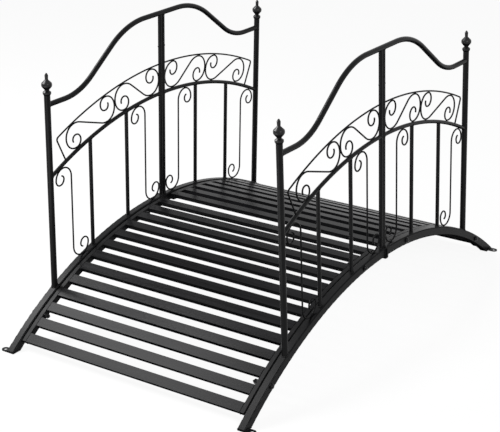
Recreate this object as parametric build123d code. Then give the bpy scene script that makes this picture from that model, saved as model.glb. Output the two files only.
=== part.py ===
"""Arched garden bridge in black coated steel tube, bolted up from four half railings and two deck panels.

Frame: X along the span, Y across it with the left railing at plus Y, Z up. The origin is on the ground
at the middle of the bridge. The quarter at plus X and plus Y is modelled, then mirrored into the others.
"""
import os
from math import acos, asin, atan2, cos, degrees, hypot, radians, sin, sqrt

from build123d import *

# Arch
span_length = 1520.0
crown_height = 270.0
arch_end_height = 7.0

# Side beams: box tube, two halves a side, bolted together at mid span
beam_width = 25.0
beam_depth = 27.0
beam_corner_radius = 3.0
joint_plate_thickness = 3.0
joint_plate_drop = 6.5
joint_plate_outset = 6.0
joint_plate_corner_radius = 8.0

# Feet: a thin plate under each beam end, with a round tab that takes a ground stake
foot_thickness = 3.0
foot_length = 34.0
foot_tab_reach = 16.0
foot_tab_radius = 11.5
foot_hole_diameter = 11.0

# Deck panels: slats between two curved side bars, bolted to the beams through short spacers
deck_width = 808.0
deck_drop = 2.5
deck_bar_width = 16.0
deck_bar_depth = 20.0
deck_bar_corner_radius = 2.0
deck_bar_end_radius = 6.0
slat_width = 30.6
slat_depth = 12.8
slat_pitch = 59.7
slat_count = 13
crown_gap = 50.0
spacer_length = 3.0
spacer_diameter = 13.0
spacer_after_slats = (1, 10)

# Railings
rail_lean = 1.7
end_post_inset = 214.0
end_post_diameter = 19.0
end_post_above_handrail = 29.5
centre_post_diameter = 13.0
centre_post_spacing = 14.0
baluster_diameter = 12.0
baluster_count = 2
bay_share = 0.3275

# Handrail: level at the crown, an S bend, level again at the end post.
# Its two level runs are shares of the half railing, and the bends fill what is left.
handrail_diameter = 16.0
handrail_rise = 617.0
handrail_drop = 164.0
handrail_slope = 36.0
handrail_level_shares = (0.1557, 0.1394)
handrail_upper_bend_share = 0.5714

# Arched rail and the wire frame over it follow the same arch as the beam.
# The rail stands at a share of the handrail's rise, and the frame over it by a share of the half railing.
arched_rail_diameter = 12.0
arched_rail_share = 0.5705
wire_diameter = 5.0
frame_share = 0.1804
frame_corner_inset = 41.0
frame_corner_radius = 9.0
frame_leg_lean = 26.5
wire_clearance = 0.2

# Scrolls: each curl is three arcs that tighten by these shares of the first radius.
# The loops of the inner and of the outer S are spaced by shares of their width, and the stem bends wider.
# A J hook is a share of its bay, and stands at one, first in the inner bay and then in the outer.
scroll_curl_shares = (0.52, 0.34)
scroll_end_turn = 105.0
scroll_spacing_shares = (1.612, 1.738)
scroll_stem_share = 1.41
scroll_clearance = 0.3
hook_bay_share = 0.1955
hook_place_shares = (0.4635, 0.52)
hook_curl_shares = (0.51, 0.32)
hook_end_turn = 80.0

# Finial: collar, neck, ball and spindle turned about the post.
# The ball is round at its waist over a share of its size, and runs in cones to the neck and the spindle.
finial_collar_diameter = 25.0
finial_collar_height = 15.5
finial_collar_band = 5.0
finial_neck_diameter = 13.0
finial_neck_height = 1.0
finial_ball_diameter = 32.0
finial_ball_height = 31.5
finial_ball_waist_share = 0.33
finial_spindle_foot_diameter = 9.6
finial_spindle_diameter = 10.8
finial_spindle_tip_diameter = 6.0
finial_spindle_height = 19.8
finial_spindle_belly_share = 0.68

# Sizes that follow from those above
half_span = span_length / 2
arch_drop = crown_height - arch_end_height
arch_radius = (arch_drop**2 + half_span**2) / (2 * arch_drop)
beam_centre_z = crown_height - arch_radius
rail_y = deck_width / 2 + spacer_length + beam_width / 2
end_post_x = half_span - end_post_inset
centre_post_x = centre_post_spacing / 2
bay_length = (end_post_x - centre_post_x) * bay_share
wire_radius = wire_diameter / 2
arched_rail_rise = handrail_rise * arched_rail_share
frame_rise = arched_rail_rise + end_post_x * frame_share
loop_width = frame_rise - arched_rail_rise - arched_rail_diameter / 2 - 3 * wire_radius
hook_radius = bay_length * hook_bay_share
deck_radius = arch_radius - deck_drop
slat_length = deck_width - 2 * deck_bar_width
slat_gap = slat_pitch - slat_width
deck_start_angle = degrees(crown_gap / 2 / deck_radius)
deck_end_angle = degrees((crown_gap / 2 + (slat_count - 1) * slat_pitch + slat_width) / deck_radius)


def arch_height(x, rise=0):
    """Height of the arch curve that stands `rise` above the beam top."""
    return beam_centre_z + rise + sqrt(arch_radius**2 - x**2)


end_post_base = arch_height(end_post_x)
end_post_top = crown_height + handrail_rise - handrail_drop + end_post_above_handrail
rail_pivot_z = (crown_height + end_post_base) / 2
rail_frame = Pos(0, rail_y, rail_pivot_z) * Rot(rail_lean, 0, 0) * Pos(0, 0, -rail_pivot_z)


def bar(edges, diameter):
    """Round bar bent along edges that are drawn in x and height."""
    path = Plane.XZ * Wire(edges)
    section = Plane(origin=path @ 0, z_dir=path % 0) * Circle(diameter / 2)
    return sweep(section, path=path)


def upright(x, bottom, top, diameter):
    """Round post from one height to another."""
    return Pos(x, 0, bottom) * Cylinder(
        diameter / 2, top - bottom, align=(Align.CENTER, Align.CENTER, Align.MIN)
    )


def arch_band(outer_radius, depth, width):
    """Bar of rectangular section bent to a full ring about the arch centre."""
    ring = Circle(outer_radius) - Circle(outer_radius - depth)
    return Pos(0, 0, beam_centre_z) * extrude(Plane.XZ * ring, amount=width / 2, both=True)


def beam():
    """Half of a side beam: arched box tube, cut flat on the foot plate, with its joint plate."""
    reach = Pos(0, 0, foot_thickness) * Box(
        half_span, beam_width, crown_height, align=(Align.MIN, Align.CENTER, Align.MIN)
    )
    tube = arch_band(arch_radius, beam_depth, beam_width) & reach
    tube = fillet(tube.edges().filter_by(GeomType.CIRCLE), beam_corner_radius)
    plate_width = beam_width / 2 + joint_plate_outset + beam_width / 2
    plate_height = beam_depth + joint_plate_drop
    outline = Rectangle(plate_width, plate_height)
    outline = fillet(outline.vertices().sort_by(Axis.Y)[:2], joint_plate_corner_radius)
    plate = extrude(Plane.YZ * outline, amount=joint_plate_thickness)
    plate_y = joint_plate_outset / 2
    plate_z = crown_height - plate_height / 2 - beam_corner_radius / 2
    return Pos(0, rail_y, 0) * (tube + Pos(0, plate_y, plate_z) * plate)


def foot_plate():
    """Flat plate under the beam end, with a round tab outside the beam and its stake hole."""
    tab_y = beam_width / 2 + foot_tab_reach
    tab_x = half_span - foot_tab_radius
    pad = Pos(half_span, 0) * Rectangle(foot_length, beam_width, align=(Align.MAX, Align.CENTER))
    neck = Pos(tab_x, beam_width / 2) * Rectangle(
        2 * foot_tab_radius, foot_tab_reach, align=(Align.CENTER, Align.MIN)
    )
    outline = pad + neck + Pos(tab_x, tab_y) * Circle(foot_tab_radius)
    outline = outline - Pos(tab_x, tab_y) * Circle(foot_hole_diameter / 2)
    return Pos(0, rail_y, 0) * extrude(outline, amount=foot_thickness)


def deck_bar():
    """Side bar of a deck panel, with the spacers that hold it off the beam."""
    outer = deck_radius
    inner = deck_radius - deck_bar_depth
    start = radians(deck_start_angle)
    end = radians(deck_end_angle)
    sketch = make_face(
        [
            CenterArc((0, 0), outer, 90 - deck_end_angle, deck_end_angle - deck_start_angle),
            CenterArc((0, 0), inner, 90 - deck_end_angle, deck_end_angle - deck_start_angle),
            Line((inner * sin(start), inner * cos(start)), (outer * sin(start), outer * cos(start))),
            Line((inner * sin(end), inner * cos(end)), (outer * sin(end), outer * cos(end))),
        ]
    )
    low_corner = sketch.vertices().sort_by(Axis.Y)[0]
    sketch = fillet(low_corner, deck_bar_end_radius)
    solid = extrude(Plane.XZ * sketch, amount=deck_bar_width / 2, both=True)
    long_edges = [edge for edge in solid.edges().filter_by(GeomType.CIRCLE) if edge.radius > deck_bar_depth]
    solid = fillet(long_edges, deck_bar_corner_radius)
    solid = Pos(0, deck_width / 2 - deck_bar_width / 2, beam_centre_z) * solid
    for index in spacer_after_slats:
        along = crown_gap / 2 + index * slat_pitch + slat_width + slat_gap / 2
        angle = along / deck_radius
        middle = deck_radius - deck_bar_depth / 2
        place = Pos(middle * sin(angle), deck_width / 2, beam_centre_z + middle * cos(angle))
        disc = Rot(-90, 0, 0) * Cylinder(
            spacer_diameter / 2, spacer_length, align=(Align.CENTER, Align.CENTER, Align.MIN)
        )
        solid = solid + place * disc
    return solid


def slats():
    """The slats of one deck panel, each lying square to the arch."""
    pieces = []
    for index in range(slat_count):
        along = crown_gap / 2 + index * slat_pitch + slat_width / 2
        turn = degrees(along / deck_radius)
        slat = Box(slat_width, slat_length, slat_depth, align=(Align.CENTER, Align.CENTER, Align.MAX))
        pieces.append(Pos(0, 0, beam_centre_z) * Rot(0, turn, 0) * Pos(0, 0, deck_radius) * slat)
    return Compound(children=pieces)


def handrail():
    """S bent handrail from mid span to the axis of the end post."""
    slope = radians(handrail_slope)
    run = end_post_x * (1 - sum(handrail_level_shares))
    both_radii = (run * sin(slope) - handrail_drop * cos(slope)) / (1 - cos(slope))
    upper_radius = both_radii * handrail_upper_bend_share
    slant_length = (handrail_drop - both_radii * (1 - cos(slope))) / sin(slope)
    top = crown_height + handrail_rise
    crown = Line((0, top), (end_post_x * handrail_level_shares[0], top))
    upper = JernArc(crown @ 1, crown % 1, upper_radius, -handrail_slope)
    slant = Line(upper @ 1, upper @ 1 + slant_length * (upper % 1))
    lower = JernArc(slant @ 1, slant % 1, both_radii - upper_radius, handrail_slope)
    level = Line(lower @ 1, (end_post_x, top - handrail_drop))
    return bar([crown, upper, slant, lower, level], handrail_diameter)


def arch_run(x_start, x_end, rise):
    """Arc along the arch between two places, from the centre outward."""
    start = 90 - degrees(asin(x_start / arch_radius))
    end = 90 - degrees(asin(x_end / arch_radius))
    return CenterArc((0, beam_centre_z + rise), arch_radius, start, end - start)


def scroll_frame():
    """Wire that runs over the scrolls, turns at the outer corner and slants down to the arched rail."""
    post_face = centre_post_x + centre_post_diameter / 2 + wire_clearance
    run = arch_run(post_face, end_post_x - frame_corner_inset, frame_rise)
    heading = degrees(atan2((run % 1).Y, (run % 1).X))
    leg_heading = -90 - frame_leg_lean
    corner = JernArc(run @ 1, run % 1, frame_corner_radius, leg_heading - heading)
    leg_start = corner @ 1
    from_centre = leg_start - Vector(0, beam_centre_z + arched_rail_rise)
    toward = from_centre.dot(corner % 1)
    rail_top_radius = arch_radius + arched_rail_diameter / 2 + wire_clearance
    leg_length = -toward - sqrt(toward**2 - from_centre.length**2 + rail_top_radius**2)
    leg = Line(leg_start, leg_start + leg_length * (corner % 1))
    return bar([run, corner, leg], wire_diameter)


def scroll_loop(x):
    """Centre height and radius of the loop at x that touches both the arched rail and the wire over it."""
    total = 2 * arch_radius + arched_rail_diameter / 2 - wire_radius
    focus = (frame_rise - arched_rail_rise) / 2
    long_axis = total / 2
    short_axis = sqrt(long_axis**2 - focus**2)
    middle = beam_centre_z + (frame_rise + arched_rail_rise) / 2
    height = middle + long_axis * sqrt(1 - (x / short_axis) ** 2)
    rail_distance = hypot(x, height - beam_centre_z - arched_rail_rise)
    return height, rail_distance - arch_radius - arched_rail_diameter / 2 - wire_radius


def curl(centre, radius, angle, turn, shares, end_turn):
    """Two tightening arcs that carry a hook on from the point of its first arc at this angle."""
    second = radius * shares[0]
    third = radius * shares[1]
    x = centre[0] + (radius - second) * cos(radians(angle))
    z = centre[1] + (radius - second) * sin(radians(angle))
    half = CenterArc((x, z), second, angle, turn * 180)
    x = x - (second - third) * cos(radians(angle))
    z = z - (second - third) * sin(radians(angle))
    return [half, CenterArc((x, z), third, angle + turn * 180, turn * end_turn)]


def s_scroll(outer_x, inner_x):
    """S scroll: the outer loop curls up from the rail, the inner loop hangs from the wire.

    The stem leaves one loop where it touches the wire, and meets the other where it touches the rail.
    """
    outer_z, outer_radius = scroll_loop(outer_x)
    inner_z, inner_radius = scroll_loop(inner_x)
    rail_centre_z = beam_centre_z + arched_rail_rise
    wire_centre_z = beam_centre_z + frame_rise
    outer_foot = degrees(atan2(rail_centre_z - outer_z, -outer_x))
    outer_top = degrees(atan2(outer_z - wire_centre_z, outer_x))
    inner_foot = degrees(atan2(rail_centre_z - inner_z, -inner_x)) + 360
    inner_top = degrees(atan2(inner_z - wire_centre_z, inner_x))
    bend = (outer_radius + inner_radius) / 2 * scroll_stem_share
    upper_x = outer_x + (outer_radius - bend) * cos(radians(outer_top))
    upper_z = outer_z + (outer_radius - bend) * sin(radians(outer_top))
    lower_x = inner_x + (inner_radius - bend) * cos(radians(inner_foot))
    lower_z = inner_z + (inner_radius - bend) * sin(radians(inner_foot))
    apart = hypot(lower_x - upper_x, lower_z - upper_z)
    bearing = degrees(atan2(lower_z - upper_z, lower_x - upper_x))
    leave = bearing - degrees(acos(2 * bend / apart))
    outer_loop = CenterArc((outer_x, outer_z), outer_radius, outer_foot, outer_top - outer_foot)
    upper_bend = CenterArc((upper_x, upper_z), bend, outer_top, leave - outer_top)
    lower_bend = CenterArc((lower_x, lower_z), bend, leave + 180, inner_foot - leave - 180)
    inner_loop = CenterArc((inner_x, inner_z), inner_radius, inner_foot, inner_top - inner_foot)
    diagonal = Line(upper_bend @ 1, lower_bend @ 0)
    outer_curl = curl(
        (outer_x, outer_z), outer_radius, outer_foot, -1, scroll_curl_shares, scroll_end_turn
    )
    inner_curl = curl(
        (inner_x, inner_z), inner_radius, inner_top, -1, scroll_curl_shares, scroll_end_turn
    )
    stem = [outer_loop, upper_bend, diagonal, lower_bend, inner_loop]
    return bar(outer_curl[::-1] + stem + inner_curl, wire_diameter)


def s_scrolls():
    """Two S scrolls side by side: the inner one rests against the centre post."""
    post_face = centre_post_x + centre_post_diameter / 2
    inner_x = post_face
    for _ in range(4):
        inner_x = post_face + wire_radius + scroll_loop(inner_x)[1]
    middle_x = inner_x + loop_width * scroll_spacing_shares[0]
    middle_z, middle_radius = scroll_loop(middle_x)
    next_x = middle_x
    for _ in range(8):
        next_z, next_radius = scroll_loop(next_x)
        apart = middle_radius + next_radius + wire_diameter + scroll_clearance
        next_x = middle_x + sqrt(apart**2 - (next_z - middle_z) ** 2)
    outer_x = next_x + loop_width * scroll_spacing_shares[1]
    return Compound(children=[s_scroll(middle_x, inner_x), s_scroll(outer_x, next_x)])


def j_scroll(x):
    """Upright wire: its top hook curls to the end post under the arched rail, its foot to the centre."""
    top_reach = arch_radius - arched_rail_diameter / 2 - wire_clearance - wire_radius - hook_radius
    foot_reach = arch_radius + wire_clearance + wire_radius + hook_radius
    top_x = x + hook_radius
    foot_x = x - hook_radius
    top_z = beam_centre_z + arched_rail_rise + sqrt(top_reach**2 - top_x**2)
    foot_z = beam_centre_z + sqrt(foot_reach**2 - foot_x**2)
    top_hook = CenterArc((top_x, top_z), hook_radius, 0, 180)
    foot_hook = CenterArc((foot_x, foot_z), hook_radius, 0, -180)
    stem = Line(top_hook @ 1, foot_hook @ 0)
    top_curl = curl((top_x, top_z), hook_radius, 0, -1, hook_curl_shares, hook_end_turn)
    foot_curl = curl((foot_x, foot_z), hook_radius, 180, -1, hook_curl_shares, hook_end_turn)
    return bar(top_curl[::-1] + [top_hook, stem, foot_hook] + foot_curl, wire_diameter)


def finial():
    """Turned finial on the end post."""
    post = end_post_diameter / 2
    collar = finial_collar_diameter / 2
    neck = finial_neck_diameter / 2
    ball = finial_ball_diameter / 2
    foot = finial_spindle_foot_diameter / 2
    belly = finial_spindle_diameter / 2
    tip = finial_spindle_tip_diameter / 2
    band_bottom = (finial_collar_height - finial_collar_band) / 2
    band_top = band_bottom + finial_collar_band
    ball_bottom = finial_collar_height + finial_neck_height
    ball_middle = ball_bottom + finial_ball_height / 2
    ball_top = ball_bottom + finial_ball_height
    waist = ball * finial_ball_waist_share
    shoulder = sqrt(ball**2 - waist**2)
    belly_z = ball_top + finial_spindle_height * finial_spindle_belly_share
    tip_z = ball_top + finial_spindle_height
    profile = make_face(
        [
            Line((0, 0), (post, 0)),
            Line((post, 0), (collar, band_bottom)),
            Line((collar, band_bottom), (collar, band_top)),
            Line((collar, band_top), (neck, finial_collar_height)),
            Line((neck, finial_collar_height), (neck, ball_bottom)),
            Line((neck, ball_bottom), (shoulder, ball_middle - waist)),
            ThreePointArc(
                (shoulder, ball_middle - waist), (ball, ball_middle), (shoulder, ball_middle + waist)
            ),
            Line((shoulder, ball_middle + waist), (foot, ball_top)),
            Line((foot, ball_top), (belly, belly_z)),
            Line((belly, belly_z), (tip, tip_z - tip)),
            RadiusArc((tip, tip_z - tip), (0, tip_z), -tip),
            Line((0, tip_z), (0, 0)),
        ]
    )
    return Pos(end_post_x, 0, end_post_top) * revolve(Plane.XZ * profile, Axis.Z)


def railing():
    """The pieces of one half railing, upright in its own plane and then leaned over its beam."""
    below_beam = Pos(0, 0, beam_centre_z) * Rot(90, 0, 0) * Cylinder(arch_radius, 2 * beam_width)
    under = crown_height - arch_drop
    end_post = upright(end_post_x, under, end_post_top, end_post_diameter)
    top_bar = handrail()
    centre_top = crown_height + handrail_rise
    centre_post = upright(centre_post_x, under, centre_top, centre_post_diameter) - top_bar
    centre_post = centre_post.solids().sort_by(Axis.Z)[0]
    arched_rail = bar([arch_run(centre_post_x, end_post_x, arched_rail_rise)], arched_rail_diameter)
    balusters = []
    hooks = []
    for index in range(baluster_count):
        x = centre_post_x + (index + 1) * bay_length
        post = upright(x, under, arch_height(x, arched_rail_rise), baluster_diameter) - arched_rail
        balusters.append(rail_frame * post.solids().sort_by(Axis.Z)[0])
    for index, share in zip((0, baluster_count), hook_place_shares):
        hooks.append(j_scroll(centre_post_x + (index + share) * bay_length))
    seat = Pos(0, rail_y, 0) * below_beam
    pieces = {
        "end_post": rail_frame * end_post - seat,
        "finial": rail_frame * finial(),
        "handrail": rail_frame * (top_bar - end_post),
        "centre_post": rail_frame * centre_post - seat,
        "arched_rail": rail_frame * (arched_rail - end_post - centre_post),
        "balusters": Compound(children=[post - seat for post in balusters]),
        "scroll_frame": rail_frame * scroll_frame(),
        "s_scrolls": rail_frame * s_scrolls(),
        "j_scrolls": rail_frame * Compound(children=hooks),
    }
    return pieces


def save(shape, name):
    """Write one node."""
    export_step(shape, f"parts/{name}.step")


os.makedirs("parts", exist_ok=True)
quarter = railing()
quarter["beam"] = beam()
quarter["foot_plate"] = foot_plate()
quarter["deck_bar"] = deck_bar()
for name, piece in quarter.items():
    right_piece = mirror(piece, about=Plane.XZ)
    save(piece, f"left_far_{name}")
    save(right_piece, f"right_far_{name}")
    save(mirror(piece, about=Plane.YZ), f"left_near_{name}")
    save(mirror(right_piece, about=Plane.YZ), f"right_near_{name}")
far_slats = slats()
save(far_slats, "far_deck_slats")
save(mirror(far_slats, about=Plane.YZ), "near_deck_slats")
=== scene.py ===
import math

import bpy
from mathutils import Matrix, Vector


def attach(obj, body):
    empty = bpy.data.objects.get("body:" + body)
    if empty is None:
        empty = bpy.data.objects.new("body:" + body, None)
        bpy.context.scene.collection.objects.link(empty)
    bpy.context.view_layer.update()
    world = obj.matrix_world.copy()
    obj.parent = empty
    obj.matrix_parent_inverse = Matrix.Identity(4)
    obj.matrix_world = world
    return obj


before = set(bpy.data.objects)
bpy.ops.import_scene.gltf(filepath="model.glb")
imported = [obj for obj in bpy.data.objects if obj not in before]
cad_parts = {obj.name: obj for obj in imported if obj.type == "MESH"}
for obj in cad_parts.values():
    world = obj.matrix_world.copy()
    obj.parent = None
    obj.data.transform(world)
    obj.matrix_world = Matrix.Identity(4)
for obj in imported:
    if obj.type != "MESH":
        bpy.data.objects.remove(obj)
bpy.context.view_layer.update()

# Side beams
# Steel box tube rolled to one arch, two halves a side that meet at mid span on welded flange plates.
# The welded half is degreased, sprayed with black polyester powder and baked.
half_span = 0.760
crown_height = 0.270
arch_end_height = 0.007
arch_drop = crown_height - arch_end_height
arch_radius = (arch_drop**2 + half_span**2) / (2 * arch_drop)
arch_centre_z = crown_height - arch_radius
beam_width = 0.025
beam_depth = 0.027
beam_y = 0.4195


def linear_colour(code):
    """Linear colour with alpha from an sRGB hex code."""
    channels = [int(code[place:place + 2], 16) / 255 for place in (1, 3, 5)]
    return [c / 12.92 if c <= 0.04045 else ((c + 0.055) / 1.055) ** 2.4 for c in channels] + [1.0]


def add_node(tree, kind, inputs=None, **settings):
    """One node with its settings; each input takes a value or the output socket that feeds it."""
    node = tree.nodes.new(kind)
    for name, value in settings.items():
        setattr(node, name, value)
    for name, value in (inputs or {}).items():
        if isinstance(value, bpy.types.NodeSocket):
            tree.links.new(value, node.inputs[name])
        else:
            node.inputs[name].default_value = value
    return node


# Shares of the turn from facing down to facing up: underside, both ends of the sides, top.
facing_stops = (0.3, 0.46, 0.78, 0.88)
film_tone_stops = (0.35, 0.68)
film_gloss_range = (0.3, 0.7)
polyester_ior = 1.5


def powder_coat(name, dark, light, roughness, peel_mm, peel_depth_mm, cloud_mm, gloss, stretch=(1, 1, 1)):
    """Baked polyester powder: a satin black skin with the soft dimples called orange peel.

    The dimples break up highlights, and slow changes of film thickness shift the black and its gloss a little.
    Gloss is given for faces that look up and for the sides, and undersides get none. The step down from
    tops to sides and the dull undersides are painted shade, standing in for the shadowed floor these faces
    reflect.
    Stretch draws the pattern out along the axis that the steel under it was rolled or drawn.
    """
    material = bpy.data.materials.new(name)
    material.use_nodes = True
    tree = material.node_tree
    shader = tree.nodes["Principled BSDF"]
    place = add_node(tree, "ShaderNodeTexCoord")
    along = add_node(tree, "ShaderNodeMapping", {"Vector": place.outputs["Object"], "Scale": stretch})
    cloud = add_node(
        tree, "ShaderNodeTexNoise", {"Vector": along.outputs["Vector"], "Scale": 1000 / cloud_mm, "Detail": 4.0}
    )
    tone = add_node(tree, "ShaderNodeValToRGB", {"Fac": cloud.outputs["Fac"]})
    for stop, spot, code in zip(tone.color_ramp.elements, film_tone_stops, (dark, light)):
        stop.position = spot
        stop.color = linear_colour(code)
    satin = add_node(
        tree,
        "ShaderNodeMapRange",
        {"Value": cloud.outputs["Fac"], "From Min": film_gloss_range[0], "From Max": film_gloss_range[1],
         "To Min": roughness[0], "To Max": roughness[1]},
    )
    peel = add_node(
        tree, "ShaderNodeTexNoise", {"Vector": place.outputs["Object"], "Scale": 1000 / peel_mm, "Detail": 2.0}
    )
    skin = add_node(
        tree,
        "ShaderNodeBump",
        {"Height": peel.outputs["Fac"], "Strength": 1.0, "Distance": peel_depth_mm / 1000},
    )
    tree.links.new(tone.outputs["Color"], shader.inputs["Base Color"])
    tree.links.new(satin.outputs["Result"], shader.inputs["Roughness"])
    tree.links.new(skin.outputs["Normal"], shader.inputs["Normal"])
    shader.inputs["IOR"].default_value = polyester_ior
    # Painted shade: the specular level steps down with facing, from tops to sides, and is nil on undersides.
    surface = add_node(tree, "ShaderNodeNewGeometry")
    facing = add_node(tree, "ShaderNodeSeparateXYZ", {"Vector": surface.outputs["True Normal"]})
    upward_share = add_node(
        tree, "ShaderNodeMapRange", {"Value": facing.outputs["Z"], "From Min": -1.0, "From Max": 1.0}
    )
    painted_shade_gloss = add_node(tree, "ShaderNodeValToRGB", {"Fac": upward_share.outputs["Result"]})
    for spot, value in zip(facing_stops, (0.0, gloss[1], gloss[1], gloss[0])):
        stop = painted_shade_gloss.color_ramp.elements.new(spot)
        stop.color = (value, value, value, 1.0)
    painted_shade_gloss.color_ramp.elements.remove(painted_shade_gloss.color_ramp.elements[0])
    painted_shade_gloss.color_ramp.elements.remove(painted_shade_gloss.color_ramp.elements[-1])
    tree.links.new(painted_shade_gloss.outputs["Color"], shader.inputs["Specular IOR Level"])
    return material


# Powder on box tube: the flat faces show the film best, so its clouding is broad and its peel is fine.
beam_coat = powder_coat(
    "black_powder_coat_box_tube", "#0c0c0d", "#141415",
    roughness=(0.28, 0.36), peel_mm=2.4, peel_depth_mm=0.03, cloud_mm=70, gloss=(0.072, 0.04),
)


def dress(piece, material):
    """Give a node of the frame its finish."""
    for side in ("left", "right"):
        for end in ("near", "far"):
            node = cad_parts[f"{side}_{end}_{piece}"]
            node.data.materials.clear()
            node.data.materials.append(material)


dress("beam", beam_coat)


def beam_top(x):
    """Height of the beam's top face at a place along the span."""
    return arch_centre_z + math.sqrt(arch_radius**2 - x**2)


# Weld beads
# Short runs of gas shielded weld that hold the tube, bar and wire together, laid before the coating.
# Each bead is a row of frozen ripples, and the powder over it is thicker and glossier in the folds.
weld_coat = powder_coat(
    "black_powder_coat_weld_bead", "#09090a", "#111112",
    roughness=(0.3, 0.42), peel_mm=1.6, peel_depth_mm=0.08, cloud_mm=12, gloss=(0.12, 0.12),
)


steps_per_ripple = 4
bead_sides = 7


def weld_tree():
    """Beads along edge paths: round in section, with ripples at an even spacing."""
    tree = bpy.data.node_groups.new("weld_bead", "GeometryNodeTree")
    for name, kind in (("Paths", "NodeSocketGeometry"), ("Bead radius", "NodeSocketFloat"),
                       ("Ripple spacing", "NodeSocketFloat"), ("Ripple share", "NodeSocketFloat")):
        tree.interface.new_socket(name, in_out="INPUT", socket_type=kind)
    tree.interface.new_socket("Beads", in_out="OUTPUT", socket_type="NodeSocketGeometry")
    given = add_node(tree, "NodeGroupInput")
    step = add_node(
        tree, "ShaderNodeMath", {0: given.outputs["Ripple spacing"], 1: steps_per_ripple}, operation="DIVIDE"
    )
    paths = add_node(tree, "GeometryNodeMeshToCurve", {"Mesh": given.outputs["Paths"]})
    line = add_node(
        tree,
        "GeometryNodeResampleCurve",
        {"Curve": paths.outputs["Curve"], "Length": step.outputs[0]},
        mode="LENGTH",
    )
    count = add_node(tree, "GeometryNodeInputIndex")
    phase = add_node(
        tree,
        "ShaderNodeMath",
        {0: count.outputs["Index"], 1: 2 * math.pi / steps_per_ripple},
        operation="MULTIPLY",
    )
    wave = add_node(tree, "ShaderNodeMath", {0: phase.outputs[0]}, operation="SINE")
    swell = add_node(
        tree,
        "ShaderNodeMath",
        {0: wave.outputs[0], 1: given.outputs["Ripple share"], 2: 1.0},
        operation="MULTIPLY_ADD",
    )
    size = add_node(
        tree, "ShaderNodeMath", {0: swell.outputs[0], 1: given.outputs["Bead radius"]}, operation="MULTIPLY"
    )
    section = add_node(
        tree, "GeometryNodeCurvePrimitiveCircle", {"Resolution": bead_sides, "Radius": 1.0}, mode="RADIUS"
    )
    body = add_node(
        tree,
        "GeometryNodeCurveToMesh",
        {"Curve": line.outputs["Curve"], "Profile Curve": section.outputs["Curve"], "Scale": size.outputs[0],
         "Fill Caps": True},
    )
    smooth = add_node(tree, "GeometryNodeSetShadeSmooth", {"Geometry": body.outputs["Mesh"]})
    real = add_node(tree, "GeometryNodeRealizeInstances", {"Geometry": smooth.outputs["Geometry"]})
    coated = add_node(
        tree, "GeometryNodeSetMaterial", {"Geometry": real.outputs["Geometry"], "Material": weld_coat}
    )
    add_node(tree, "NodeGroupOutput", {"Beads": coated.outputs["Geometry"]})
    return tree


bead_tree = weld_tree()


def grown(name, mesh, tree, sizes):
    """Run a node tree on a mesh, keep the result as a plain mesh and let it ride on the frame."""
    piece = bpy.data.objects.new(name, mesh)
    bpy.context.scene.collection.objects.link(piece)
    modifier = piece.modifiers.new(name, "NODES")
    modifier.node_group = tree
    for item in tree.interface.items_tree:
        if item.in_out == "INPUT" and item.name in sizes:
            modifier[item.identifier] = sizes[item.name]
    bpy.context.view_layer.update()
    result = bpy.data.meshes.new_from_object(piece.evaluated_get(bpy.context.evaluated_depsgraph_get()))
    piece.modifiers.clear()
    piece.data = result
    result.name = name
    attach(piece, "root")
    return piece


same_place = 1e-6


def welds(name, paths, bead_mm, ripple_mm=2.0, ripple_share=0.12):
    """Beads along lists of points; a path whose last point repeats its first is a closed ring."""
    points = []
    edges = []
    for path in paths:
        ring = (path[0] - path[-1]).length < same_place
        run = path[:-1] if ring else path
        first = len(points)
        points.extend(run)
        edges.extend((first + step, first + step + 1) for step in range(len(run) - 1))
        if ring:
            edges.append((first + len(run) - 1, first))
    mesh = bpy.data.meshes.new(name)
    mesh.from_pydata(points, edges, [])
    sizes = {"Bead radius": bead_mm / 1000, "Ripple spacing": ripple_mm / 1000, "Ripple share": ripple_share}
    return grown(name, mesh, bead_tree, sizes)


# The flange plates are welded all round the beam's end.
plate_thickness = 0.003
bead_lift = 0.0003
bead_inset = 0.0004
plate_paths = []
for side in (1, -1):
    for end in (1, -1):
        outline = []
        for y, z in ((0.5, 0), (0.5, -1), (-0.5, -1), (-0.5, 0), (0.5, 0)):
            outline.append(Vector((end * (plate_thickness + 2 * bead_lift), side * (beam_y + y * beam_width),
                                   crown_height - bead_inset + z * (beam_depth - 2 * bead_inset))))
        plate_paths.append(outline)
welds("flange_plate_welds", plate_paths, bead_mm=1.4)

# Feet
# A thin pressed plate closes each beam end and carries a round tab with a hole for a ground stake.
# It is welded along both sides of the beam and coated with it.
foot_coat = powder_coat(
    "black_powder_coat_foot_plate", "#0c0c0d", "#151516",
    roughness=(0.3, 0.4), peel_mm=2.4, peel_depth_mm=0.03, cloud_mm=30, gloss=(0.08, 0.04),
)
dress("foot_plate", foot_coat)
foot_thickness = 0.003
foot_weld_xs = (0.7300, 0.7445, 0.7590)
foot_paths = []
for side in (1, -1):
    for end in (1, -1):
        for edge in (1, -1):
            y = side * (beam_y + edge * (beam_width / 2 + bead_lift))
            foot_paths.append([Vector((end * x, y, foot_thickness + bead_lift)) for x in foot_weld_xs])
welds("foot_welds", foot_paths, bead_mm=1.5)

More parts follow.
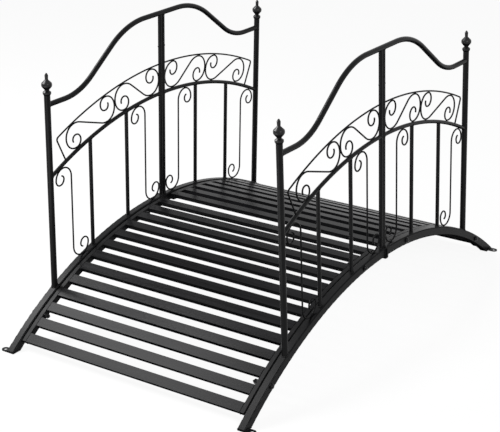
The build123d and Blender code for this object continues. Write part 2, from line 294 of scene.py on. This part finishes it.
# Deck panels
# Flat steel slats set between two curved side bars, welded from the gap side and coated as one panel.
# The slats were rolled, so the film follows faint lines along them. Their tops are given more gloss than their
# sides, and their undersides none, as painted shade.
slat_coat = powder_coat(
    "black_powder_coat_rolled_slat", "#0b0b0c", "#151517",
    roughness=(0.25, 0.31), peel_mm=2.6, peel_depth_mm=0.03, cloud_mm=9,
    gloss=(0.055, 0.025), stretch=(1, 0.04, 1),
)
bar_coat = powder_coat(
    "black_powder_coat_rolled_bar", "#0b0b0c", "#141415",
    roughness=(0.3, 0.4), peel_mm=2.4, peel_depth_mm=0.03, cloud_mm=40, gloss=(0.06, 0.03),
)
for panel in ("near_deck_slats", "far_deck_slats"):
    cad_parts[panel].data.materials.clear()
    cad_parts[panel].data.materials.append(slat_coat)
dress("deck_bar", bar_coat)
deck_drop = 0.0025
deck_radius = arch_radius - deck_drop
slat_pitch = 0.0597
slat_width = 0.0306
slat_depth = 0.0128
slat_count = 13
crown_gap = 0.050
slat_end_y = 0.388
bead_depth_shares = (0.22, 0.6, 0.98)
slat_paths = []
for end in (1, -1):
    for side in (1, -1):
        for slat in range(slat_count):
            turn = (crown_gap / 2 + slat * slat_pitch + slat_width / 2) / deck_radius
            face = Matrix.Rotation(end * turn, 4, "Y")
            y = side * (slat_end_y - bead_inset)
            for edge in (1, -1):
                x = edge * (slat_width / 2 + bead_lift)
                run = [Vector((x, y, deck_radius - slat_depth * share)) for share in bead_depth_shares]
                slat_paths.append([face @ point + Vector((0, 0, arch_centre_z)) for point in run])
welds("slat_welds", slat_paths, bead_mm=1.7)

# Posts, handrails and balusters
# Round tube, saddle cut to the tube it meets and welded all round. The handrail is bent to an S on a former.
# The two halves of a railing stand back to back at mid span.
post_coat = powder_coat(
    "black_powder_coat_round_tube", "#0b0b0c", "#121213",
    roughness=(0.22, 0.30), peel_mm=2.2, peel_depth_mm=0.03, cloud_mm=60, gloss=(0.1, 0.1),
)
for piece in ("end_post", "centre_post", "handrail", "arched_rail", "balusters"):
    dress(piece, post_coat)
rail_lean = math.radians(1.7)
end_post_x = 0.546
end_post_radius = 0.0095
centre_post_x = 0.007
centre_post_radius = 0.0065
baluster_radius = 0.006
bay_share = 0.3275
bay_length = (end_post_x - centre_post_x) * bay_share
baluster_xs = [centre_post_x + step * bay_length for step in (1, 2)]
handrail_radius = 0.008
handrail_rise = 0.617
handrail_fall = 0.164
handrail_top = crown_height + handrail_rise
handrail_end = handrail_top - handrail_fall
arched_rail_radius = 0.006
arched_rail_share = 0.5705
arched_rail_rise = handrail_rise * arched_rail_share
rail_pivot_z = (crown_height + beam_top(end_post_x)) / 2


def on_railing(x, out, z, side, end):
    """Place a point of an upright railing on its leaning plane: along, out of plane and height."""
    rise = z - rail_pivot_z
    y = beam_y + out * math.cos(rail_lean) - rise * math.sin(rail_lean)
    height = rail_pivot_z + out * math.sin(rail_lean) + rise * math.cos(rail_lean)
    return Vector((end * x, side * y, height))


def ring(place, steps=28):
    """Closed path from a function of the angle."""
    points = [place(step * 2 * math.pi / steps) for step in range(steps)]
    return points + [points[0]]


def foot_ring(x, radius, side, end):
    """Path round a post where it stands on the beam."""
    reach = radius + bead_inset
    lean = math.sin(rail_lean)

    def place(angle):
        px = x + reach * math.cos(angle)
        y = beam_y - (beam_top(x) - rail_pivot_z) * lean + reach * math.sin(angle)
        return Vector((end * px, side * y, beam_top(px) + bead_lift))

    return ring(place)


def saddle_ring(z, radius, post_x, post_radius, facing, slope, side, end):
    """Path round a rail where its end meets a round post; facing tells which side of the post it meets."""
    def place(angle):
        out = (radius + bead_lift) * math.cos(angle)
        lift = (radius + bead_lift) * math.sin(angle)
        x = post_x + facing * (math.sqrt(max(post_radius**2 - out**2, 0)) + bead_lift)
        return on_railing(x, out, z + (x - post_x) * slope + lift * math.sqrt(1 + slope**2), side, end)

    return ring(place)


def top_ring(x, radius, rail_z, rail_radius, slope, side, end):
    """Path round the top of an upright where it meets the underside of a rail."""
    def place(angle):
        along = (radius + bead_lift) * math.cos(angle)
        out = (radius + bead_lift) * math.sin(angle)
        under = math.sqrt(max(rail_radius**2 - out**2, 0)) * math.sqrt(1 + slope**2)
        return on_railing(x + along, out, rail_z + along * slope - under, side, end)

    return ring(place)


def rail_z(x):
    """Height of the arched rail's axis."""
    return beam_top(x) + arched_rail_rise


def rail_slope(x):
    """Fall of the arched rail at a place along the span."""
    return -x / math.sqrt(arch_radius**2 - x**2)


post_paths = []
for side in (1, -1):
    for end in (1, -1):
        post_paths.append(foot_ring(end_post_x, end_post_radius, side, end))
        post_paths.append(foot_ring(centre_post_x, centre_post_radius, side, end))
        for x in baluster_xs:
            post_paths.append(foot_ring(x, baluster_radius, side, end))
            post_paths.append(
                top_ring(x, baluster_radius, rail_z(x), arched_rail_radius, rail_slope(x), side, end)
            )
        post_paths.append(
            top_ring(centre_post_x, centre_post_radius, handrail_top, handrail_radius, 0, side, end)
        )
        post_paths.append(
            saddle_ring(handrail_end, handrail_radius, end_post_x, end_post_radius, -1, 0, side, end)
        )
        post_paths.append(
            saddle_ring(rail_z(end_post_x), arched_rail_radius, end_post_x, end_post_radius, -1,
                        rail_slope(end_post_x), side, end)
        )
        post_paths.append(
            saddle_ring(rail_z(centre_post_x), arched_rail_radius, centre_post_x, centre_post_radius, 1,
                        rail_slope(centre_post_x), side, end)
        )
welds("post_welds", post_paths, bead_mm=1.3)

# Scrolls and their frame
# Drawn wire bent cold round pins into S and J scrolls and the arch over them, tacked at each touch.
# Little powder holds on thin wire, so its coat is darker and duller than on tube.
wire_coat = powder_coat(
    "black_powder_coat_drawn_wire", "#09090a", "#0f0f10",
    roughness=(0.24, 0.32), peel_mm=2.0, peel_depth_mm=0.03, cloud_mm=40, gloss=(0.05, 0.05),
)
for piece in ("scroll_frame", "s_scrolls", "j_scrolls"):
    dress(piece, wire_coat)
wire_radius = 0.0025
wire_clearance = 0.0002
scroll_clearance = 0.0003
frame_share = 0.1804
frame_rise = arched_rail_rise + end_post_x * frame_share
hook_share = 0.1955
hook_radius = bay_length * hook_share
hook_places = ((0, 0.4635), (2, 0.52))
hook_xs = [centre_post_x + (bay + share) * bay_length for bay, share in hook_places]
loop_spacing_shares = (1.612, 1.738)
loop_width = frame_rise - arched_rail_rise - arched_rail_radius - 3 * wire_radius


def loop_place(x):
    """Centre height and radius of the S loop that touches both the arched rail and the wire over it."""
    total = 2 * arch_radius + arched_rail_radius - wire_radius
    focus = (frame_rise - arched_rail_rise) / 2
    short_axis = math.sqrt((total / 2) ** 2 - focus**2)
    middle = arch_centre_z + (frame_rise + arched_rail_rise) / 2
    z = middle + total / 2 * math.sqrt(1 - (x / short_axis) ** 2)
    rail_distance = math.hypot(x, z - arch_centre_z - arched_rail_rise)
    return z, rail_distance - arch_radius - arched_rail_radius - wire_radius


def tack(x, z, angle, side, end, length=0.0032):
    """Short path across a touch, along a direction in the railing's plane."""
    along = (math.cos(angle), math.sin(angle))
    return [on_railing(x + share * length * along[0], 0, z + share * length * along[1], side, end)
            for share in (-1, 0, 1)]


post_face = centre_post_x + centre_post_radius
first_loop = post_face
for _ in range(4):
    first_loop = post_face + wire_radius + loop_place(first_loop)[1]
second_loop = first_loop + loop_width * loop_spacing_shares[0]
third_loop = second_loop
for _ in range(8):
    second_z, second_radius = loop_place(second_loop)
    third_z, third_radius = loop_place(third_loop)
    apart = second_radius + third_radius + 2 * wire_radius + scroll_clearance
    third_loop = second_loop + math.sqrt(apart**2 - (third_z - second_z) ** 2)
fourth_loop = third_loop + loop_width * loop_spacing_shares[1]
tack_paths = []
for side in (1, -1):
    for end in (1, -1):
        for x in (first_loop, second_loop, third_loop, fourth_loop):
            z, radius = loop_place(x)
            for rise, toward in ((arched_rail_rise, -1), (frame_rise, 1)):
                dz = z - arch_centre_z - rise
                touch = toward * (radius + wire_radius) / math.hypot(x, dz)
                tack_paths.append(tack(x + touch * x, z + touch * dz, math.atan2(-x, dz), side, end))
        z, radius = loop_place(first_loop)
        tack_paths.append(tack(first_loop - radius - wire_radius, z, math.pi / 2, side, end))
        middle_x = (second_loop + third_loop) / 2
        middle_z = (loop_place(second_loop)[0] + loop_place(third_loop)[0]) / 2
        tack_paths.append(tack(middle_x, middle_z, math.pi / 2, side, end))
        for x in hook_xs:
            top_reach = arch_radius - arched_rail_radius - wire_clearance
            top_x = (x + hook_radius) * top_reach / (top_reach - wire_radius - hook_radius)
            top_z = arch_centre_z + arched_rail_rise + math.sqrt(top_reach**2 - top_x**2)
            tack_paths.append(tack(top_x, top_z, math.atan(rail_slope(top_x)), side, end))
            foot_reach = arch_radius + wire_clearance
            foot_x = (x - hook_radius) * foot_reach / (foot_reach + wire_radius + hook_radius)
            tack_paths.append(tack(foot_x, beam_top(foot_x), math.atan(rail_slope(foot_x)), side, end))
welds("scroll_tacks", tack_paths, bead_mm=1.5, ripple_mm=3.0)

# Finials
# Small castings, collar, ball and spindle in one, driven into the open top of each end post.
# The casting's grain shows through the powder, so its skin is coarser than on tube.
finial_coat = powder_coat(
    "black_powder_coat_casting", "#0b0b0c", "#131314",
    roughness=(0.26, 0.36), peel_mm=1.6, peel_depth_mm=0.05, cloud_mm=18, gloss=(0.24, 0.24),
)
dress("finial", finial_coat)

# Bolts
# Plated steel, blackened: round heads outside the beams and cap nuts inside the deck bars, each on a washer.
# Low round headed bolts with sleeve nuts draw each pair of centre posts together.
bolt_blotch_mm = 4.0
bolt_tone_stops = (0.35, 0.65)
bolt_colours = ("#101012", "#1a1a1b")
bolt_roughness = (0.26, 0.36)
bolt_finish = bpy.data.materials.new("black_zinc_plated_steel")
bolt_finish.use_nodes = True
bolt_nodes = bolt_finish.node_tree
bolt_shader = bolt_nodes.nodes["Principled BSDF"]
bolt_place = add_node(bolt_nodes, "ShaderNodeTexCoord")
# Passivated zinc is blotchy at a few millimetres, from blue black to grey black.
bolt_blotch = add_node(
    bolt_nodes,
    "ShaderNodeTexNoise",
    {"Vector": bolt_place.outputs["Object"], "Scale": 1000 / bolt_blotch_mm, "Detail": 3.0},
)
bolt_tone = add_node(bolt_nodes, "ShaderNodeValToRGB", {"Fac": bolt_blotch.outputs["Fac"]})
for stop, spot, code in zip(bolt_tone.color_ramp.elements, bolt_tone_stops, bolt_colours):
    stop.position = spot
    stop.color = linear_colour(code)
bolt_nodes.links.new(bolt_tone.outputs["Color"], bolt_shader.inputs["Base Color"])
bolt_wear = add_node(
    bolt_nodes,
    "ShaderNodeMapRange",
    {"Value": bolt_blotch.outputs["Fac"], "To Min": bolt_roughness[0], "To Max": bolt_roughness[1]},
)
bolt_nodes.links.new(bolt_wear.outputs["Result"], bolt_shader.inputs["Roughness"])
bolt_shader.inputs["Metallic"].default_value = 0.5
bolt_shader.inputs["Specular IOR Level"].default_value = 0.2


washer_sides = 24
nut_height_share = 0.6
nut_corner_share = 1.22


def fastener_tree(name, domed):
    """Washer and head at each point, turned to its axis: a round head, or a hexagon nut with a domed cap."""
    tree = bpy.data.node_groups.new(name, "GeometryNodeTree")
    for label, kind in (("Places", "NodeSocketGeometry"), ("Washer radius", "NodeSocketFloat"),
                        ("Washer thickness", "NodeSocketFloat"), ("Head radius", "NodeSocketFloat"),
                        ("Head height", "NodeSocketFloat")):
        tree.interface.new_socket(label, in_out="INPUT", socket_type=kind)
    tree.interface.new_socket("Fasteners", in_out="OUTPUT", socket_type="NodeSocketGeometry")
    given = add_node(tree, "NodeGroupInput")
    washer = add_node(
        tree,
        "GeometryNodeMeshCylinder",
        {"Vertices": washer_sides, "Radius": given.outputs["Washer radius"],
         "Depth": given.outputs["Washer thickness"]},
    )
    half = add_node(
        tree, "ShaderNodeMath", {0: given.outputs["Washer thickness"], 1: 0.5}, operation="MULTIPLY"
    )
    half_up = add_node(tree, "ShaderNodeCombineXYZ", {"Z": half.outputs[0]})
    seated = add_node(
        tree, "GeometryNodeTransform", {"Geometry": washer.outputs["Mesh"], "Translation": half_up.outputs[0]}
    )
    parts = [seated.outputs["Geometry"]]
    dome_share = add_node(
        tree,
        "ShaderNodeMath",
        {0: given.outputs["Head height"], 1: given.outputs["Head radius"]},
        operation="DIVIDE",
    )
    ball = add_node(
        tree, "GeometryNodeMeshUVSphere", {"Segments": 20, "Rings": 10, "Radius": given.outputs["Head radius"]}
    )
    if domed:
        nut_up = add_node(
            tree,
            "ShaderNodeMath",
            {0: given.outputs["Head height"], 1: nut_height_share / 2, 2: given.outputs["Washer thickness"]},
            operation="MULTIPLY_ADD",
        )
        nut_height = add_node(
            tree, "ShaderNodeMath", {0: given.outputs["Head height"], 1: nut_height_share}, operation="MULTIPLY"
        )
        nut_radius = add_node(
            tree, "ShaderNodeMath", {0: given.outputs["Head radius"], 1: nut_corner_share}, operation="MULTIPLY"
        )
        nut = add_node(
            tree,
            "GeometryNodeMeshCylinder",
            {"Vertices": 6, "Radius": nut_radius.outputs[0], "Depth": nut_height.outputs[0]},
        )
        nut_lift = add_node(tree, "ShaderNodeCombineXYZ", {"Z": nut_up.outputs[0]})
        nut_set = add_node(
            tree, "GeometryNodeTransform", {"Geometry": nut.outputs["Mesh"], "Translation": nut_lift.outputs[0]}
        )
        parts.append(nut_set.outputs["Geometry"])
    squash = add_node(tree, "ShaderNodeCombineXYZ", {"X": 1.0, "Y": 1.0, "Z": dome_share.outputs[0]})
    lift = add_node(tree, "ShaderNodeCombineXYZ", {"Z": given.outputs["Washer thickness"]})
    head = add_node(
        tree,
        "GeometryNodeTransform",
        {"Geometry": ball.outputs["Mesh"], "Translation": lift.outputs[0], "Scale": squash.outputs[0]},
    )
    rounded = add_node(tree, "GeometryNodeSetShadeSmooth", {"Geometry": head.outputs["Geometry"]})
    parts.append(rounded.outputs["Geometry"])
    whole = add_node(tree, "GeometryNodeJoinGeometry")
    for part in parts:
        tree.links.new(part, whole.inputs["Geometry"])
    axis = add_node(tree, "GeometryNodeInputNamedAttribute", {"Name": "axis"}, data_type="FLOAT_VECTOR")
    turn = add_node(
        tree, "FunctionNodeAlignRotationToVector", {"Vector": axis.outputs["Attribute"]}, axis="Z"
    )
    placed = add_node(
        tree,
        "GeometryNodeInstanceOnPoints",
        {"Points": given.outputs["Places"], "Instance": whole.outputs["Geometry"],
         "Rotation": turn.outputs["Rotation"]},
    )
    real = add_node(tree, "GeometryNodeRealizeInstances", {"Geometry": placed.outputs["Instances"]})
    plated = add_node(
        tree, "GeometryNodeSetMaterial", {"Geometry": real.outputs["Geometry"], "Material": bolt_finish}
    )
    add_node(tree, "NodeGroupOutput", {"Fasteners": plated.outputs["Geometry"]})
    return tree


def fasteners(name, places, tree, washer_mm, head_mm):
    """Fasteners at points with axes; sizes are washer diameter and thickness, head diameter and height."""
    mesh = bpy.data.meshes.new(name)
    mesh.from_pydata([place for place, axis in places], [], [])
    axes = mesh.attributes.new("axis", "FLOAT_VECTOR", "POINT")
    for index, (place, axis) in enumerate(places):
        axes.data[index].vector = axis
    sizes = {"Washer radius": washer_mm[0] / 2000, "Washer thickness": washer_mm[1] / 1000,
             "Head radius": head_mm[0] / 2000, "Head height": head_mm[1] / 1000}
    return grown(name, mesh, tree, sizes)


head_tree = fastener_tree("round_head", False)
nut_tree = fastener_tree("cap_nut", True)
bolted_gaps = (1, 10)
deck_bolt_drop = 0.010
post_bolt_rises = (0.033, 0.5087)
post_bolt_sink = 0.0004
bolt_heads = []
bolt_nuts = []
for side in (1, -1):
    for end in (1, -1):
        for gap in bolted_gaps:
            along = crown_gap / 2 + gap * slat_pitch + slat_width + (slat_pitch - slat_width) / 2
            angle = end * along / deck_radius
            reach = deck_radius - deck_bolt_drop
            x = reach * math.sin(angle)
            z = arch_centre_z + reach * math.cos(angle)
            bolt_heads.append((Vector((x, side * (beam_y + beam_width / 2), z)), Vector((0, side, 0))))
            bolt_nuts.append((Vector((x, side * slat_end_y, z)), Vector((0, -side, 0))))
fasteners("deck_bolt_heads", bolt_heads, head_tree, washer_mm=(18.0, 1.4), head_mm=(15.6, 6.2))
fasteners("deck_bolt_nuts", bolt_nuts, nut_tree, washer_mm=(16.0, 1.6), head_mm=(12.4, 16.0))
post_bolts = []
for side in (1, -1):
    for rise in post_bolt_rises:
        face = centre_post_x + centre_post_radius - post_bolt_sink
        for end in (1, -1):
            post_bolts.append((on_railing(face, 0, crown_height + rise, side, end), Vector((end, 0, 0))))
fasteners("post_bolts", post_bolts, head_tree, washer_mm=(9.0, 0.5), head_mm=(8.0, 1.3))

# Stage
# A white paper floor that keeps a faint shadow, in an even white surround.
# One large soft lamp hangs high on the left, and a smaller one on the right lights the railing's outer side.
floor_size = 30.0
floor_drop = 0.0005
floor_glow_share = 0.92
surround_strength = 0.3
floor_mesh = bpy.data.meshes.new("floor")
corner = floor_size / 2
floor_mesh.from_pydata(
    [(-corner, -corner, 0), (corner, -corner, 0), (corner, corner, 0), (-corner, corner, 0)], [], [(0, 1, 2, 3)]
)
floor = bpy.data.objects.new("floor", floor_mesh)
floor.location.z = -floor_drop
bpy.context.scene.collection.objects.link(floor)


def seen_directly(tree):
    """One for rays that show the eye a surface: from the camera, in a reflection or through glass."""
    ray = add_node(tree, "ShaderNodeLightPath")
    seen = add_node(
        tree,
        "ShaderNodeMath",
        {0: ray.outputs["Is Camera Ray"], 1: ray.outputs["Is Glossy Ray"]},
        operation="MAXIMUM",
    )
    seen = add_node(
        tree, "ShaderNodeMath", {0: seen.outputs[0], 1: ray.outputs["Is Transmission Ray"]}, operation="MAXIMUM"
    )
    return seen.outputs[0]


paper = bpy.data.materials.new("white_paper")
paper.use_nodes = True
paper_tree = paper.node_tree
paper_shader = paper_tree.nodes["Principled BSDF"]
paper_shader.inputs["Base Color"].default_value = linear_colour("#f4f4f4")
paper_shader.inputs["Roughness"].default_value = 0.9
paper_shader.inputs["Specular IOR Level"].default_value = 0.0
paper_light = add_node(paper_tree, "ShaderNodeEmission", {"Color": linear_colour("#ffffff"), "Strength": 1.0})
paper_share = add_node(
    paper_tree, "ShaderNodeMath", {0: seen_directly(paper_tree), 1: floor_glow_share}, operation="MULTIPLY"
)
paper_mix = add_node(
    paper_tree,
    "ShaderNodeMixShader",
    {0: paper_share.outputs[0], 1: paper_shader.outputs["BSDF"], 2: paper_light.outputs["Emission"]},
)
paper_tree.links.new(paper_mix.outputs["Shader"], paper_tree.nodes["Material Output"].inputs["Surface"])
floor_mesh.materials.append(paper)

studio = bpy.data.worlds.new("white_studio")
studio.use_nodes = True
studio_tree = studio.node_tree
soft = studio_tree.nodes["Background"]
soft.inputs["Color"].default_value = linear_colour("#ffffff")
soft.inputs["Strength"].default_value = surround_strength
white = add_node(studio_tree, "ShaderNodeBackground", {"Color": linear_colour("#ffffff"), "Strength": 1.0})
studio_mix = add_node(
    studio_tree,
    "ShaderNodeMixShader",
    {0: seen_directly(studio_tree), 1: soft.outputs["Background"], 2: white.outputs["Background"]},
)
studio_tree.links.new(studio_mix.outputs["Shader"], studio_tree.nodes["World Output"].inputs["Surface"])
bpy.context.scene.world = studio


def softbox(name, place, aim, size, watts):
    """Rectangular soft lamp that the camera doesn't see."""
    lamp = bpy.data.lights.new(name, "AREA")
    lamp.shape = "RECTANGLE"
    lamp.size, lamp.size_y = size
    lamp.energy = watts
    holder = bpy.data.objects.new(name, lamp)
    bpy.context.scene.collection.objects.link(holder)
    holder.location = place
    holder.rotation_euler = (Vector(aim) - Vector(place)).to_track_quat("-Z", "Y").to_euler()
    holder.visible_camera = False
    return holder


softbox("left_softbox", place=(-1.0, 2.25, 3.0), aim=(-0.6, 0.0, 0.1), size=(2.1, 1.5), watts=180)
softbox("right_softbox", place=(-1.8, -3.4, 2.4), aim=(0, 0, 0.5), size=(0.9, 1.2), watts=80)
# The paper in front is the brightest. Only reflections show it, as a stripe down the round posts.
front_paper = softbox("front_paper", place=(-2.1, 0.1, 0.001), aim=(-2.1, 0.1, 1.0), size=(1.5, 1.4), watts=17)
front_paper.visible_diffuse = False

bpy.context.scene.view_settings.view_transform = "Standard"
# The camera was fitted to the photo: its bearing, fall, roll, place and focal length in the photo's pixels.
view_turn = math.radians(34.4112)
view_fall = math.radians(21.5815)
view_roll = math.radians(-0.5152)
eye = Vector((-3.5424, -2.3610, 1.9648))
focal_pixels = 1442.9334
picture_width_pixels = 500
sensor_width_mm = 36.0
back = Vector((
    -math.cos(view_turn) * math.cos(view_fall),
    -math.sin(view_turn) * math.cos(view_fall),
    math.sin(view_fall),
))
right = Vector((math.sin(view_turn), -math.cos(view_turn), 0))
up = back.cross(right)
across = math.cos(view_roll) * right + math.sin(view_roll) * up
upward = -math.sin(view_roll) * right + math.cos(view_roll) * up
lens = bpy.data.cameras.new("camera")
lens.sensor_width = sensor_width_mm
lens.lens = focal_pixels / picture_width_pixels * sensor_width_mm
camera = bpy.data.objects.new("camera", lens)
bpy.context.scene.collection.objects.link(camera)
camera.matrix_world = Matrix((
    (across.x, upward.x, back.x, eye.x),
    (across.y, upward.y, back.y, eye.y),
    (across.z, upward.z, back.z, eye.z),
    (0, 0, 0, 1),
))
bpy.context.scene.camera = camera
